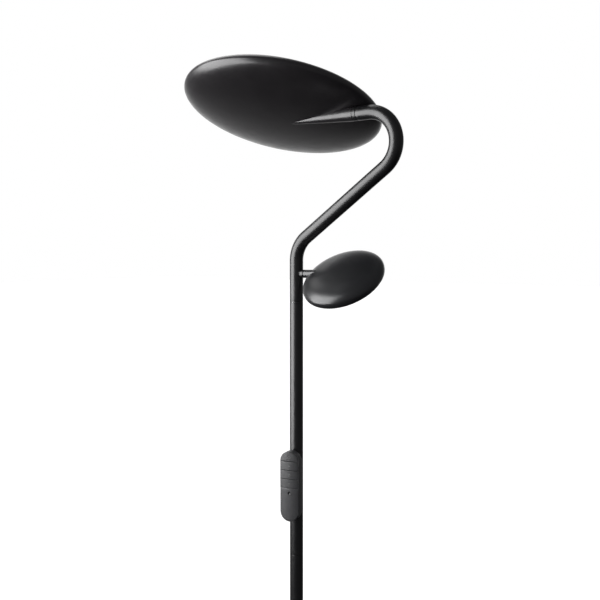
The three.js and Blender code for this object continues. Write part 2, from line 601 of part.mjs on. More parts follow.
function makeRemote(parent) {
  const frame = new THREE.Group();
  frame.position.z = REMOTE.z;
  frame.rotation.z = REMOTE.turn * DEG;
  parent.add(frame);

  const magnetSeat = CRADLE.front - 3;
  const screwHeads = [CRADLE_SCREW_Z, -CRADLE_SCREW_Z];
  const cradle = cut(
    stadium(CRADLE.width, CRADLE.height, CRADLE.back, CRADLE.front),
    rod(TUBE_R + GAP, -80, 80, 48),
    peg(8.3, magnetSeat, 20, 0, 24),
    ...screwHeads.map((z) => peg(3.8, CRADLE.front - 2.4, 20, z)),
    ...screwHeads.map((z) => peg(1.8, 5, 20, z, 12)),
    box(60, 20, 130).translate(0, 10 - CRADLE.rear, 0),
  );
  add(frame, "remote_cradle", cradle, LOOK.remote());
  const magnet = peg(8, magnetSeat + GAP, CRADLE.front - 0.1, 0, 24);
  add(frame, "cradle_magnet", magnet, LOOK.steel());
  const screwNames = ["cradle_screw_upper", "cradle_screw_lower"];
  screwHeads.forEach((z, index) => {
    const headBack = CRADLE.front - 2.1;
    const screw = alongMinusY(turned([
      [0, 7.6], [1.5, 7.6], [1.5, headBack], [3.4, headBack + 0.3], [3.4, headBack + 1.7],
      [0, headBack + 1.7],
    ], 16)).translate(0, 0, z);
    add(frame, screwNames[index], screw, LOOK.steel());
  });

  const { width, height, back, seam, wall } = REMOTE;
  const inside = (d0, d1) => stadium(width - 2 * wall, height - 2 * wall, d0, d1);
  const backFloor = back + 1;
  const backShell = cut(stadium(width, height, back, seam), inside(backFloor, seam + 2));
  add(frame, "remote_back_shell", backShell, LOOK.remote());
  const keeper = band(20, backFloor + GAP, backFloor + 0.7, -22, 22);
  add(frame, "remote_keeper_plate", keeper, LOOK.steel());
  const boardPlate = common(
    stadium(width - 2 * wall - 1.6, height - 2 * wall - 1.6, BOARD.back, BOARD.front),
    band(24, back, seam + 2, -24, 60),
  );
  add(frame, "remote_circuit_board", boardPlate, LOOK.greenBoard());
  const battery = peg(10, BOARD.back - 3.7, BOARD.back - 1.2, -37, 24);
  add(frame, "remote_battery", battery, LOOK.steel());

  const lowest = KEY_EDGES[KEY_EDGES.length - 1];
  const beyond = REMOTE.front + 5; // well in front of the face
  const keyWindow = common(
    stadium(width - 1.6, height - 1.6, KEY_FLOOR, beyond),
    band(40, back, beyond + 2, lowest, 70),
  );
  const front = cut(
    common(stadium(width, height, seam + GAP, beyond), crown(0)),
    inside(seam - 1, seam + 0.9),
    common(inside(seam - 1, KEY_FLOOR + 0.5), band(40, back, beyond, -70, lowest - 1.4)),
    keyWindow,
    ...KEY_CENTRES.map((z) => peg(KEY_STEM.holeR, back, KEY_UNDER, z)),
    peg(MODE_KEY.r + 0.25, back, beyond, MODE_KEY.z, 20),
  );
  add(frame, "remote_front_shell", front, LOOK.remote());

  const caps = common(stadium(width - 2.2, height - 2.2, KEY_UNDER, beyond), crown(0));
  const keyNames = ["key_power", "key_brighter", "key_tone", "key_dimmer"];
  keyNames.forEach((name, index) => {
    const top = index ? KEY_EDGES[index - 1] - KEY_SPLIT : 70;
    const capBand = band(40, back, beyond + 2, KEY_EDGES[index] + KEY_SPLIT, top);
    const stem = peg(KEY_STEM.r, KEY_STEM.end, KEY_UNDER + 0.3, KEY_CENTRES[index]);
    add(frame, name, join(common(caps, capBand), stem), LOOK.key());
  });
  const modeKey = alongMinusY(turned([
    [0, KEY_STEM.end], [MODE_KEY.r, KEY_STEM.end], [MODE_KEY.r, REMOTE.front - 0.2],
    [MODE_KEY.r * 0.6, REMOTE.front - 0.5], [0, REMOTE.front - 0.6],
  ], 20)).translate(0, 0, MODE_KEY.z);
  add(frame, "key_mode", modeKey, LOOK.dark());
}

// ---- wiring held inside the lamp ----
function makeWiring(parent) {
  const bypassX = -3.4; // the cable passes behind the reading lamp's nut
  const turnR = 13; // the cable turns up into the pole
  const inBase = Array.from({ length: 5 }, (_, i) => {
    const angle = i * 22.5 * DEG;
    return new THREE.Vector3(0, turnR * (1 - Math.sin(angle)), CABLE_Z + turnR * (1 - Math.cos(angle)));
  });
  const path = [
    new THREE.Vector3(0, BASE_R - 8, GLAND_Z - 1),
    new THREE.Vector3(0, BASE_R - 24, CABLE_Z),
    ...inBase,
    new THREE.Vector3(0, 0, SEAM_TOP + JOINER.half),
    new THREE.Vector3(bypassX * 0.5, 0, SEAM_TOP + JOINER.half + 3),
    new THREE.Vector3(bypassX, 0, READING.z - 9),
    new THREE.Vector3(bypassX, 0, READING.z + 9),
    ...lowerBend(5),
    ...upperBend(10).slice(0, 10),
    new THREE.Vector3(HEAD_SHAFT.x1 + 7, 0, HEAD_AXIS_Z),
    new THREE.Vector3(HEAD_SHAFT.x1 + 1, 0, HEAD_AXIS_Z),
  ];
  add(parent, "main_harness", swept(path, 2.3, 4), LOOK.cable());
}

makeBase(lamp);
makePole(lamp);
makeArm(lamp);
makeHead(lamp);
makeReadingLamp(lamp);
makeRemote(lamp);
makeWiring(lamp);

export default lamp;
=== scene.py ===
"""Torchiere floor lamp: visible surfaces, materials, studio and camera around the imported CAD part."""
import json
import math

import bmesh
import bpy
from mathutils import Matrix, Vector


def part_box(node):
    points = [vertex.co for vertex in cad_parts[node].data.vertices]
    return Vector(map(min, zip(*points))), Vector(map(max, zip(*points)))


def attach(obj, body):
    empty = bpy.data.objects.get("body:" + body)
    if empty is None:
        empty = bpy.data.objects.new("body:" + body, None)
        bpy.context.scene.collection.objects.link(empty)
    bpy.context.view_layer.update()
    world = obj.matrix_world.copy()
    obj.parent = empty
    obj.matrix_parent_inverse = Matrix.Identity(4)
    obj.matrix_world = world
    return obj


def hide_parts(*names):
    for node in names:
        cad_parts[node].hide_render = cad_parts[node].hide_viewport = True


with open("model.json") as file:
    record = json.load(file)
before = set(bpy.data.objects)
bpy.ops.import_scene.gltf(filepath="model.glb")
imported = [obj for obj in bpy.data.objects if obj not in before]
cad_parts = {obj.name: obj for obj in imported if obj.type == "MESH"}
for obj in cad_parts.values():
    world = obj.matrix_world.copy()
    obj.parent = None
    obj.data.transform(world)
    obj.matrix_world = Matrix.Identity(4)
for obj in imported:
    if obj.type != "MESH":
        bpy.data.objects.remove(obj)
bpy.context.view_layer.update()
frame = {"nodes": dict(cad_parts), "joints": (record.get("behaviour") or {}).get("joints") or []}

MM = 0.001  # lengths below are in millimetres unless they say otherwise
GAP = 0.3  # clearance between pieces that are only close
TUBE_R = 11.0
TUBE_BORE_R = 9.5
EDGE_LOOP = 0.6  # how far from an edge its supporting points lie
SHARP_DEG = 32  # edges sharper than this stay crisp, unless a piece asks for another angle
CREASE_DEG = 34  # the same for the lofted pieces of the remote and its cradle

# ---- the picture: metres and degrees ----
CAMERA_PLACE = (0.81321, -1.07760, 1.380)
CAMERA_TILT, CAMERA_TURN = 86.566, 36.794
CAMERA_LENS = 49.42
TOWARDS_BACKDROP = (-0.599, 0.801, 0.0)  # level, the way the camera looks
BACKDROP_SPREAD = (0.66, 0.98)  # cosines from that direction where its glow starts and is full
BACKDROP_LEVELS = (0.15, 1.35)  # its glow to the sides and straight behind
# each pair: direction, from 0 straight down to 1 straight up, and glow
GLOW_BY_HEIGHT = ((0.0, 0.05), (0.18, 0.06), (0.34, 0.45), (0.43, 1.0), (0.7, 1.0), (1.0, 0.6))
SOFTBOX_PLACE, SOFTBOX_TARGET = (-0.646, -0.828, 1.53), (0, 0, 1.53)
SOFTBOX_W, SOFTBOX_H = 1.16, 1.48
GLOSS_POWER, MATT_POWER, OVERHEAD_POWER = 45, 11, 9  # watts
OVERHEAD_PLACE, OVERHEAD_TARGET, OVERHEAD_SIDE = (-0.9, 0.3, 2.9), (0, 0, 1.5), 1.2
FLOOR_SPREAD = (0.3, 1.75)  # distances from the lamp where the floor's glow starts to grow and is full
FLOOR_LEVELS = (0.3, 1.0)


# ---- places read from the frame, in millimetres ----
def low(node):
    return Vector(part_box(node)[0]) / MM


def high(node):
    return Vector(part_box(node)[1]) / MM


def middle(node):
    return (low(node) + high(node)) / 2


def joint(name):
    return next(j for j in frame["joints"] if j["name"] == name)


def joint_place(name):
    return Vector(joint(name)["pos_m"]) / MM


# ---- camera ----
camera_data = bpy.data.cameras.new("camera")
camera = bpy.data.objects.new("camera", camera_data)
bpy.context.scene.collection.objects.link(camera)
camera_data.sensor_width = 36.0
camera_data.lens = CAMERA_LENS
camera.location = CAMERA_PLACE
camera.rotation_euler = (math.radians(CAMERA_TILT), 0.0, math.radians(CAMERA_TURN))
bpy.context.scene.camera = camera


# ---- mesh making ----
def mesh_object(name, verts, faces, sharp_deg=SHARP_DEG):
    """A smooth-shaded object from points in millimetres, with edges sharper than sharp_deg kept crisp."""
    mesh = bpy.data.meshes.new(name)
    mesh.from_pydata([tuple(c * MM for c in v) for v in verts], [], faces)
    bm = bmesh.new()
    bm.from_mesh(mesh)
    bmesh.ops.remove_doubles(bm, verts=bm.verts, dist=1e-7)
    bmesh.ops.recalc_face_normals(bm, faces=bm.faces)
    bm.to_mesh(mesh)
    bm.free()
    mesh.shade_smooth()
    mesh.set_sharp_from_angle(angle=math.radians(sharp_deg))
    piece = bpy.data.objects.new(name, mesh)
    bpy.context.scene.collection.objects.link(piece)
    return piece


def joined(name, parts):
    """One object from several, in the order given."""
    bm = bmesh.new()
    for part in parts:
        bm.from_mesh(part.data)
    mesh = bpy.data.meshes.new(name)
    bm.to_mesh(mesh)
    bm.free()
    for part in parts:
        old = part.data
        bpy.data.objects.remove(part)
        bpy.data.meshes.remove(old)
    piece = bpy.data.objects.new(name, mesh)
    bpy.context.scene.collection.objects.link(piece)
    return piece


def rounded(points, radius=0.5, steps=4, closed=True):
    """A profile whose corners are rounded. A point may carry its own radius as a third value."""
    out = []
    count = len(points)
    for i, point in enumerate(points):
        r = point[2] if len(point) > 2 else radius
        here = Vector(point[:2])
        at_end = not closed and i in (0, count - 1)
        if r <= 0 or at_end:
            out.append(here)
            continue
        before = Vector(points[i - 1][:2]) - here
        after = Vector(points[(i + 1) % count][:2]) - here
        reach = min(r, before.length * 0.45, after.length * 0.45)
        if before.length < 1e-6 or after.length < 1e-6 or reach < 1e-4:
            out.append(here)
            continue
        start = here + before.normalized() * reach
        end = here + after.normalized() * reach
        for k in range(steps + 1):
            t = k / steps
            out.append((1 - t) ** 2 * start + 2 * t * (1 - t) * here + t * t * end)
    return [(p.x, p.y) for p in out]


def supported(profile, closed):
    """The profile with a point near each end of its long straights, so that an edge's shading stays local."""
    out = []
    for i, (r, z) in enumerate(profile):
        out.append((r, z))
        if i == len(profile) - 1 and not closed:
            break
        next_r, next_z = profile[(i + 1) % len(profile)]
        length = math.hypot(next_r - r, next_z - z)
        if length > 4 * EDGE_LOOP:
            for t in (EDGE_LOOP / length, 1 - EDGE_LOOP / length):
                out.append((r + (next_r - r) * t, z + (next_z - z) * t))
    return out


def turned(name, profile, segments=96, sharp_deg=SHARP_DEG):
    """A turned solid about Z. The [radius, z] profile closes on itself or starts and ends on the axis."""
    verts, faces, rings = [], [], []
    profile = supported(profile, profile[0][0] > 1e-6 and profile[-1][0] > 1e-6)
    for r, z in profile:
        if r < 1e-6:
            rings.append([len(verts)])
            verts.append((0.0, 0.0, z))
        else:
            rings.append(list(range(len(verts), len(verts) + segments)))
            for s in range(segments):
                angle = 2 * math.pi * s / segments
                verts.append((r * math.cos(angle), r * math.sin(angle), z))
    closed = len(rings[0]) > 1 and len(rings[-1]) > 1
    pairs = list(zip(rings, rings[1:])) + ([(rings[-1], rings[0])] if closed else [])
    for a, b in pairs:
        for s in range(segments):
            n = (s + 1) % segments
            if len(a) == 1 and len(b) > 1:
                faces.append((a[0], b[s], b[n]))
            elif len(b) == 1 and len(a) > 1:
                faces.append((a[s], b[0], a[n]))
            elif len(a) > 1:
                faces.append((a[s], b[s], b[n], a[n]))
    return mesh_object(name, verts, faces, sharp_deg)


def lofted(name, rings, sharp_deg=SHARP_DEG, closed_ends=True):
    """A solid through rings of equal point counts, capped at both ends."""
    verts = [p for ring in rings for p in ring]
    n = len(rings[0])
    faces = []
    for k in range(len(rings) - 1):
        for i in range(n):
            j = (i + 1) % n
            faces.append((k * n + i, k * n + j, (k + 1) * n + j, (k + 1) * n + i))
    if closed_ends:
        faces.append(tuple(range(n))[::-1])
        faces.append(tuple((len(rings) - 1) * n + i for i in range(n)))
    return mesh_object(name, verts, faces, sharp_deg)


def moved(piece, matrix):
    """Bakes a placement in millimetres into the piece's mesh."""
    scaled = matrix.copy()
    scaled.translation = scaled.translation * MM
    piece.data.transform(scaled)
    piece.data.update()
    return piece


ALONG_X = Matrix.Rotation(math.pi / 2, 4, "Y")
ALONG_MINUS_Y = Matrix.Rotation(math.pi / 2, 4, "X")
ALONG_PLUS_Y = Matrix.Rotation(-math.pi / 2, 4, "X")


def shift(x=0.0, y=0.0, z=0.0):
    return Matrix.Translation(Vector((x, y, z)))


def set_up(piece, body, material, slot, *nodes):
    """Gives the piece its material and its body, and hides the CAD nodes it stands for. The record's slot is
    not used.
    """
    piece.data.materials.clear()
    piece.data.materials.append(material)
    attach(piece, body)
    if nodes:
        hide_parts(*nodes)
    return piece


# ---- materials ----
class Look:
    """A node material built around one Principled shader, with object-space noise for its fine detail."""

    def __init__(self, name, **sockets):
        self.material = bpy.data.materials.new(name)
        self.material.use_nodes = True
        self.tree = self.material.node_tree
        self.shader = self.tree.nodes["Principled BSDF"]
        self.coords = self.node("ShaderNodeTexCoord").outputs["Object"]
        for key, value in sockets.items():
            self.shader.inputs[key.replace("_", " ")].default_value = value

    def node(self, kind, **values):
        made = self.tree.nodes.new(kind)
        for key, value in values.items():
            setattr(made, key, value)
        return made

    def link(self, a, b):
        self.tree.links.new(a, b)

    def noise(self, size_mm, detail=3.0, stretch=None):
        texture = self.node("ShaderNodeTexNoise")
        texture.inputs["Scale"].default_value = 1 / (size_mm * MM)
        texture.inputs["Detail"].default_value = detail
        place = self.coords
        if stretch:
            mapping = self.node("ShaderNodeMapping")
            mapping.inputs["Scale"].default_value = stretch
            self.link(place, mapping.inputs["Vector"])
            place = mapping.outputs["Vector"]
        self.link(place, texture.inputs["Vector"])
        return texture.outputs["Fac"]

    def ranged(self, value, low_value, high_value, start=0.3, end=0.7):
        span = self.node("ShaderNodeMapRange")
        span.inputs["From Min"].default_value = start
        span.inputs["From Max"].default_value = end
        span.inputs["To Min"].default_value = low_value
        span.inputs["To Max"].default_value = high_value
        self.link(value, span.inputs["Value"])
        return span.outputs["Result"]

    def roughness(self, value, low_value, high_value):
        self.link(self.ranged(value, low_value, high_value), self.shader.inputs["Roughness"])

    def colours(self, value, first, second, start=0.35, end=0.65):
        ramp = self.node("ShaderNodeValToRGB")
        ramp.color_ramp.elements[0].position = start
        ramp.color_ramp.elements[0].color = (*first, 1)
        ramp.color_ramp.elements[1].position = end
        ramp.color_ramp.elements[1].color = (*second, 1)
        self.link(value, ramp.inputs["Fac"])
        self.link(ramp.outputs["Color"], self.shader.inputs["Base Color"])

    def bump(self, *layers):
        """Layers are (height, depth in mm), from the coarsest to the finest."""
        normal = None
        for height, depth in layers:
            bump = self.node("ShaderNodeBump")
            bump.inputs["Strength"].default_value = 1.0
            bump.inputs["Distance"].default_value = depth * MM
            self.link(height, bump.inputs["Height"])
            if normal:
                self.link(normal, bump.inputs["Normal"])
            normal = bump.outputs["Normal"]
        self.link(normal, self.shader.inputs["Normal"])


def coat(name, first, second, rough, grain_mm, grain_depth, specular=0.5):
    """Sprayed satin paint: a faint orange peel, a finer speckle and slow changes of gloss."""
    look = Look(name, Specular_IOR_Level=specular)
    peel = look.noise(grain_mm * 5, 2.0)
    speckle = look.noise(grain_mm, 2.0)
    look.colours(look.noise(40, 3.0), first, second)
    look.roughness(look.noise(16, 4.0), *rough)
    look.bump((peel, grain_depth * 2.5), (speckle, grain_depth))
    return look.material


def moulded(name, first, second, rough, grain_mm=0.35, grain_depth=0.012, specular=0.5):
    """Moulded plastic with a fine spark-eroded grain."""
    look = Look(name, Specular_IOR_Level=specular)
    cells = look.node("ShaderNodeTexVoronoi")
    cells.inputs["Scale"].default_value = 1 / (grain_mm * MM)
    look.link(look.coords, cells.inputs["Vector"])
    look.colours(look.noise(9, 3.0), first, second)
    look.roughness(look.noise(3, 3.0), *rough)
    look.bump((look.noise(grain_mm * 6, 2.0), grain_depth), (cells.outputs["Distance"], grain_depth))
    return look.material


def metal(name, colour, worn, rough, stretch, depth=0.004, size_mm=0.8):
    """Turned or drawn metal with fine lines along one direction."""
    look = Look(name, Metallic=1.0)
    lines = look.noise(size_mm, 4.0, stretch)
    look.colours(look.noise(6, 4.0), colour, worn)
    look.roughness(lines, *rough)
    look.bump((lines, depth))
    return look.material


def make_materials():
    made = {}
    made["black_coat"] = coat("satin_black_coat", (0.018, 0.018, 0.020), (0.024, 0.024, 0.026),
                              (0.30, 0.37), grain_mm=0.35, grain_depth=0.0022)
    made["black_head"] = coat("satin_black_paint", (0.043, 0.039, 0.044), (0.051, 0.047, 0.052),
                              (0.28, 0.33), grain_mm=0.40, grain_depth=0.0009)
    made["black_reading"] = coat("satin_black_enamel", (0.041, 0.042, 0.048), (0.049, 0.051, 0.056),
                                 (0.28, 0.33), grain_mm=0.40, grain_depth=0.0009)
    made["remote_shell"] = moulded("dark_grey_moulding", (0.0520, 0.0520, 0.0585), (0.0624, 0.0624, 0.0689),
                                   (0.40, 0.47))
    made["key_face"] = moulded("key_moulding", (0.0585, 0.0585, 0.0650), (0.0702, 0.0702, 0.0767),
                               (0.36, 0.43), grain_mm=0.28, grain_depth=0.008)
    made["mode_face"] = moulded("gloss_black_cap", (0.006, 0.006, 0.007), (0.009, 0.009, 0.010),
                                (0.16, 0.22), grain_mm=0.5, grain_depth=0.002)
    made["washer_plastic"] = moulded("nylon_washer", (0.014, 0.014, 0.015), (0.02, 0.02, 0.021),
                                     (0.40, 0.5))
    made["rubber"] = moulded("soft_black_rubber", (0.012, 0.012, 0.012), (0.019, 0.019, 0.018),
                             (0.72, 0.85), grain_mm=0.5, grain_depth=0.03, specular=0.35)
    made["steel"] = metal("turned_steel", (0.50, 0.51, 0.52), (0.60, 0.60, 0.61), (0.24, 0.38), (1, 1, 8))
    made["aluminium"] = metal("spun_aluminium", (0.66, 0.67, 0.69), (0.74, 0.75, 0.76), (0.30, 0.45),
                              (1, 9, 1))
    made["coin_cell"] = metal("nickel_cell", (0.58, 0.57, 0.54), (0.66, 0.65, 0.62), (0.18, 0.30),
                              (6, 1, 1))
    iron = Look("cast_iron", Metallic=0.7)
    iron.colours(iron.noise(5, 5.0), (0.05, 0.048, 0.046), (0.11, 0.108, 0.104))
    iron.roughness(iron.noise(2, 4.0), 0.55, 0.75)
    iron.bump((iron.noise(4, 3.0), 0.3), (iron.noise(0.9, 3.0), 0.12))
    made["iron"] = iron.material
    made["led_board"] = board("white_led_board", (0.74, 0.74, 0.71), (0.82, 0.82, 0.80), (0.78, 0.60, 0.20))
    made["circuit_board"] = board("green_circuit_board", (0.010, 0.075, 0.028), (0.015, 0.11, 0.04),
                                  (0.62, 0.46, 0.16))
    opal = Look("opal_acrylic", Roughness=0.38, Subsurface_Weight=0.35, IOR=1.49)
    opal.shader.inputs["Subsurface Radius"].default_value = (0.006, 0.0055, 0.005)
    opal.colours(opal.noise(30, 3.0), (0.84, 0.835, 0.815), (0.88, 0.875, 0.86))
    opal.bump((opal.noise(1.2, 2.0), 0.006))
    made["diffuser"] = opal.material
    cable = Look("cable_sheath", Specular_IOR_Level=0.4)
    cable.colours(cable.noise(6, 3.0), (0.010, 0.010, 0.010), (0.016, 0.016, 0.017))
    cable.roughness(cable.noise(2, 3.0), 0.45, 0.6)
    cable.bump((cable.noise(0.7, 3.0), 0.01))
    made["cable"] = cable.material
    mark = Look("printed_mark", Specular_IOR_Level=0.4)
    mark.colours(mark.noise(0.6, 3.0), (0.24, 0.243, 0.25), (0.29, 0.293, 0.30))
    mark.roughness(mark.noise(0.5, 2.0), 0.45, 0.55)
    mark.bump((mark.noise(0.2, 2.0), 0.003))
    made["mark"] = mark.material
    return made


def board(name, first, second, pad_colour):
    """A circuit board's solder mask with rows of small tinned pads."""
    look = Look(name)
    grid = look.node("ShaderNodeTexBrick", offset=0.0)
    grid.inputs["Scale"].default_value = 1 / (4 * MM)
    grid.inputs["Mortar Size"].default_value = 0.16
    grid.inputs["Brick Width"].default_value = 1.0
    grid.inputs["Row Height"].default_value = 1.0
    grid.inputs["Color1"].default_value = (*first, 1)
    grid.inputs["Color2"].default_value = (*second, 1)
    grid.inputs["Mortar"].default_value = (*second, 1)
    look.link(look.coords, grid.inputs["Vector"])
    dots = look.node("ShaderNodeTexVoronoi")
    dots.inputs["Scale"].default_value = 1 / (5 * MM)
    dots.inputs["Randomness"].default_value = 0.35
    look.link(look.coords, dots.inputs["Vector"])
    pads = look.ranged(dots.outputs["Distance"], 1.0, 0.0, 0.14, 0.17)
    mix = look.node("ShaderNodeMix", data_type="RGBA")
    look.link(pads, mix.inputs["Factor"])
    look.link(grid.outputs["Color"], mix.inputs["A"])
    mix.inputs["B"].default_value = (*pad_colour, 1)
    look.link(mix.outputs["Result"], look.shader.inputs["Base Color"])
    look.link(pads, look.shader.inputs["Metallic"])
    look.roughness(look.noise(2, 3.0), 0.32, 0.45)
    look.bump((grid.outputs["Fac"], 0.03), (pads, 0.02))
    return look.material


materials = make_materials()


# ---- base ----
BASE_R = 140.0
BASE_TOP = 21.0
COVER_SKIN = 1.5
COLLAR_R = 25.0


def make_base():
    pad_top = high("base_pad").z
    pad_r = high("base_pad").x
    ribs = []
    rib_count, rib_pitch, rib_start = 12, 10, 6
    for k in range(rib_count):
        r = pad_r - rib_start - k * rib_pitch
        ribs += [(r, 0.0, 0.3), (r - 1, 0.9, 0.3), (r - 4, 0.9, 0.3), (r - 5, 0.0, 0.3)]
    profile = [(0, pad_top, 0), (pad_r, pad_top, 0.5), (pad_r, 0, 0.6), *ribs, (0, 0, 0)]
    pad = turned("foot_pad", rounded(profile, steps=3, closed=False), 144, sharp_deg=40)
    set_up(pad, "root", materials["rubber"], "rubber", "base_pad")

    cover_low = low("base_cover").z
    inside = COVER_SKIN
    outer = [(BASE_R, cover_low, 0.4), (BASE_R, 10, 3.4), (BASE_R - 2, 13.6, 3), (BASE_R - 6.5, 16.4, 3.4),
             (BASE_R - 16, 18.2, 7), (70, 20.2, 20)]
    inner = [(70, 20.2 - inside, 8), (BASE_R - 16.2, 18.2 - inside, 4), (BASE_R - 7.4, 16.4 - inside, 2),
             (BASE_R - 3.4, 12.8, 2), (BASE_R - inside, 9.8, 2), (BASE_R - inside, cover_low, 0.4)]
    hub = [(7, BASE_TOP, 0.3), (7, BASE_TOP - inside, 0.3)]
    cover = turned("base_shell", rounded([*outer, *hub, *inner], steps=7), 192, sharp_deg=40)
    set_up(cover, "root", materials["black_coat"], "black_coat", "base_cover")

    gland_z = middle("cord_gland").z
    y1 = high("cord_gland").y
    y0 = low("cord_gland").y
    gland = turned("cord_bush", rounded([
        (2.7, y0, 0.3), (4, y0, 0.3), (4, BASE_R + 0.1, 0.1), (6, BASE_R + 0.2, 0.3), (6, BASE_R + 1.0, 0.3),
        (4.9, BASE_R + 1.1, 0.2), (4.7, y1, 0.4), (3.4, y1, 0.4), (2.7, BASE_R + 0.8, 0.3)], steps=4), 64)
    moved(gland, shift(z=gland_z) @ ALONG_PLUS_Y)
    set_up(gland, "root", materials["rubber"], "rubber", "cord_gland")

    bottom = low("base_collar").z
    top = high("base_collar").z
    inner_r = COLLAR_R - 2 + GAP
    collar = turned("pole_foot_collar", rounded([
        (inner_r, bottom, 0.2), (COLLAR_R, bottom, 0.4),
        (COLLAR_R, top - 2.4, 3.2), (COLLAR_R - 2.2, top, 2.4),
        (TUBE_R + GAP, top, 0.35), (TUBE_R + GAP, top - 2.4, 0.3), (inner_r, top - 4, 0.8)], steps=7), 144)
    set_up(collar, "root", materials["black_coat"], "black_coat", "base_collar")


# ---- pole ----
def pole_tube(name, node):
    z0, z1 = low(node).z, high(node).z
    return turned(name, rounded([(TUBE_BORE_R, z0, 0.2), (TUBE_R, z0, 0.45), (TUBE_R, z1, 0.45),
                                 (TUBE_BORE_R, z1, 0.2)], steps=4), 128)


def make_pole():
    for name, node in (("lower_tube", "pole_lower"), ("middle_tube", "pole_middle"),
                       ("upper_tube", "pole_upper")):
        set_up(pole_tube(name, node), "root", materials["black_coat"], "black_coat", node)


# ---- arm ----
HEAD_BORE_R, READING_BORE_R, READING_STUB_R = 5.3, 4.3, 6.65
BEND_R = 47.0
BEND_START_Z = 1363.4
RISE = math.radians(35.06)
RUN_LENGTH = 178.7
FIRST_TURN = math.pi / 2 - RISE
ARM_END_X = high("head_pivot_ring").x + GAP


def arc(cx, cz, a0, a1, steps):
    return [(cx + BEND_R * math.cos(a0 + (a1 - a0) * i / steps),
             cz + BEND_R * math.sin(a0 + (a1 - a0) * i / steps)) for i in range(steps + 1)]


def arm_path():
    run_x = BEND_R * (1 - math.cos(FIRST_TURN))
    run_z = BEND_START_Z + BEND_R * math.sin(FIRST_TURN)
    top_x = run_x + RUN_LENGTH * math.cos(RISE) - BEND_R * math.sin(RISE)
    top_z = run_z + RUN_LENGTH * math.sin(RISE) + BEND_R * math.cos(RISE)
    start = low("arm_tube").z
    straight = [(0.0, start + (BEND_START_Z - start) * k / 6) for k in range(6)]
    lower = arc(BEND_R, BEND_START_Z, math.pi, math.pi - FIRST_TURN, 20)
    upper = arc(top_x, top_z, RISE - math.pi / 2, math.pi / 2, 48)
    run = [(lower[-1][0] + (upper[0][0] - lower[-1][0]) * k / 10,
            lower[-1][1] + (upper[0][1] - lower[-1][1]) * k / 10) for k in range(1, 10)]
    end = [(top_x + (ARM_END_X - top_x) * k / 3, upper[-1][1]) for k in range(1, 4)]
    return straight + lower + run + upper + end


def make_arm():
    path = [Vector((x, 0, z)) for x, z in arm_path()]
    sides = 96
    tangents = []
    for i, point in enumerate(path):
        before = path[max(i - 1, 0)]
        after = path[min(i + 1, len(path) - 1)]
        arriving = (point - before).normalized()
        leaving = (after - point).normalized()
        tangents.append((arriving + leaving).normalized())

    def ring(centre, tangent, radius):
        across = Vector((0, 1, 0))
        normal = tangent.cross(across)
        return [tuple(centre + radius * (math.cos(a) * normal + math.sin(a) * across))
                for a in (2 * math.pi * k / sides for k in range(sides))]

    edge = 0.45
    stations = [(path[0], tangents[0], TUBE_BORE_R), (path[0], tangents[0], TUBE_R - edge),
                (path[0] + tangents[0] * edge * 0.3, tangents[0], TUBE_R - edge * 0.3),
                (path[0] + tangents[0] * edge, tangents[0], TUBE_R)]
    stations += [(p, t, TUBE_R) for p, t in zip(path[1:-1], tangents[1:-1])]
    last, end = path[-1], tangents[-1]
    stations += [(last - end * edge, end, TUBE_R), (last - end * edge * 0.3, end, TUBE_R - edge * 0.3),
                 (last, end, TUBE_R - edge), (last, end, TUBE_BORE_R)]
    stations += [(p, t, TUBE_BORE_R) for p, t in zip(path[-2:0:-1], tangents[-2:0:-1])]
    rings = [ring(*s) for s in stations]
    rings.append(rings[0])
    tube = lofted("bent_arm", rings, closed_ends=False)
    set_up(tube, "root", materials["black_coat"], "black_coat", "arm_tube")

    axis = middle("reading_stub")
    x1 = high("reading_stub").x
    stub_r, start = READING_STUB_R, TUBE_R - 2.4
    stub = turned("reading_arm_stub", rounded([
        (READING_BORE_R, start, 0.2), (stub_r + 1.3, start, 0),
        (stub_r + 0.55, TUBE_R - 1.2, 0.8), (stub_r, TUBE_R + 0.5, 0.8),
        (stub_r, x1, 0.4), (READING_BORE_R, x1, 0.2)], steps=5), 96)
    moved(stub, shift(z=axis.z) @ ALONG_X)
    set_up(stub, "root", materials["black_coat"], "black_coat", "reading_stub")

    x0, x1 = low("head_pivot_ring").x, high("head_pivot_ring").x
    ring_piece = turned("head_hinge_ring", rounded([
        (HEAD_BORE_R, x0, 0.2), (TUBE_R, x0, 0.9), (TUBE_R, x1, 0.9), (HEAD_BORE_R, x1, 0.2)], steps=5), 96)
    moved(ring_piece, shift(z=joint_place("head_tilt").z) @ ALONG_X)
    set_up(ring_piece, "root", materials["black_coat"], "black_coat", "head_pivot_ring")


